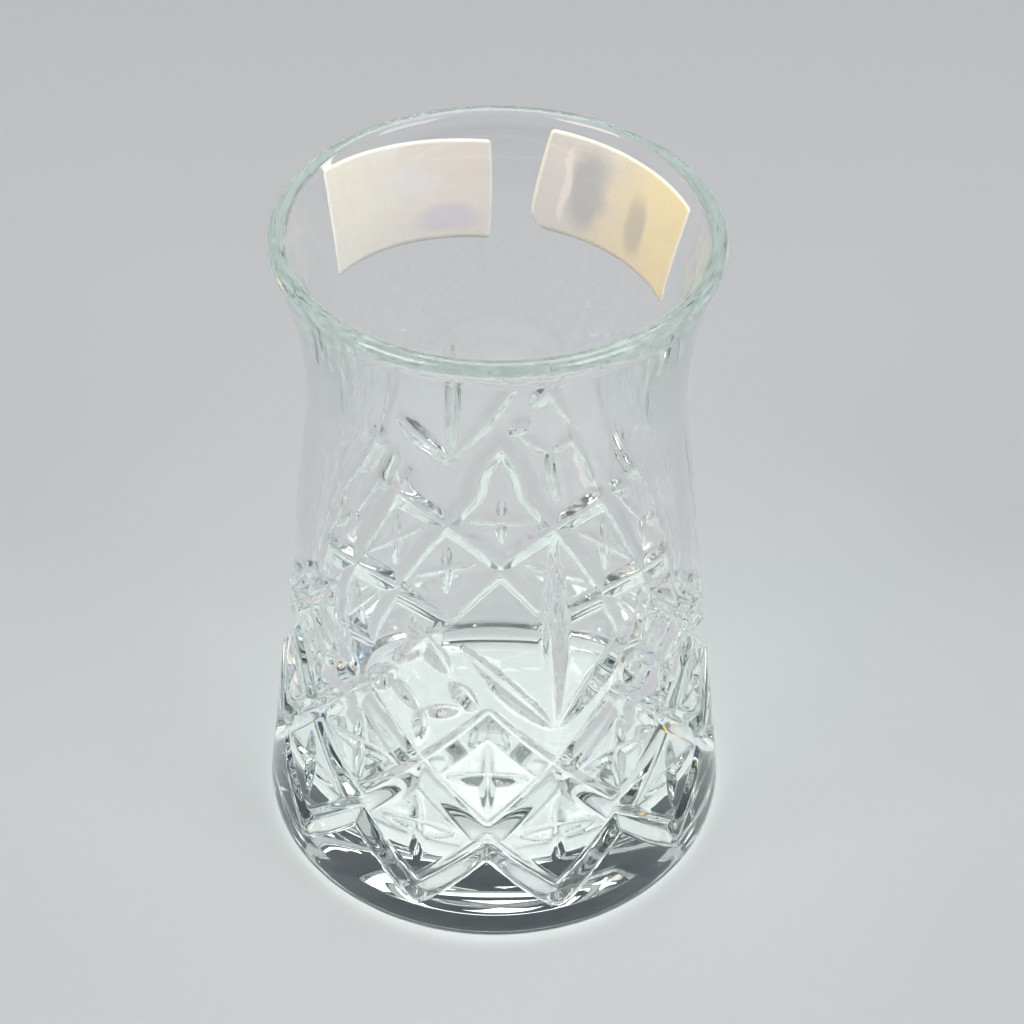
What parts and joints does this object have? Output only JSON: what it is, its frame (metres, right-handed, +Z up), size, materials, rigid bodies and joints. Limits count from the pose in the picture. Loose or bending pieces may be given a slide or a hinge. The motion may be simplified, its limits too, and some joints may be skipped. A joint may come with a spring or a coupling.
{
  "type": "shot glass",
  "caption": "Tall flared shot glass with a thick clear base, a narrow waist, a cut diamond and fan pattern round its lower half, and blank paper price labels under the rim.",
  "frame": {"origin": "centre of the underside, on the plane that the glass stands on", "axes": "+Z up along the axis of the glass, towards the mouth; -Y is the front, away from the labels; +X to the right seen from the front"},
  "size_m": [0.0526, 0.0526, 0.0785],
  "materials": {
    "clear_glass": "fire-polished moulded glass, slight grey-green tint in the thick base",
    "label_ivory": "matt ivory self-adhesive label paper",
    "label_cream": "matt cream self-adhesive label paper, partly lifted"
  },
  "bodies": {
    "root": {"glass_body": "clear_glass", "label_left": "label_ivory", "label_right": "label_cream"}
  },
  "joints": []
}
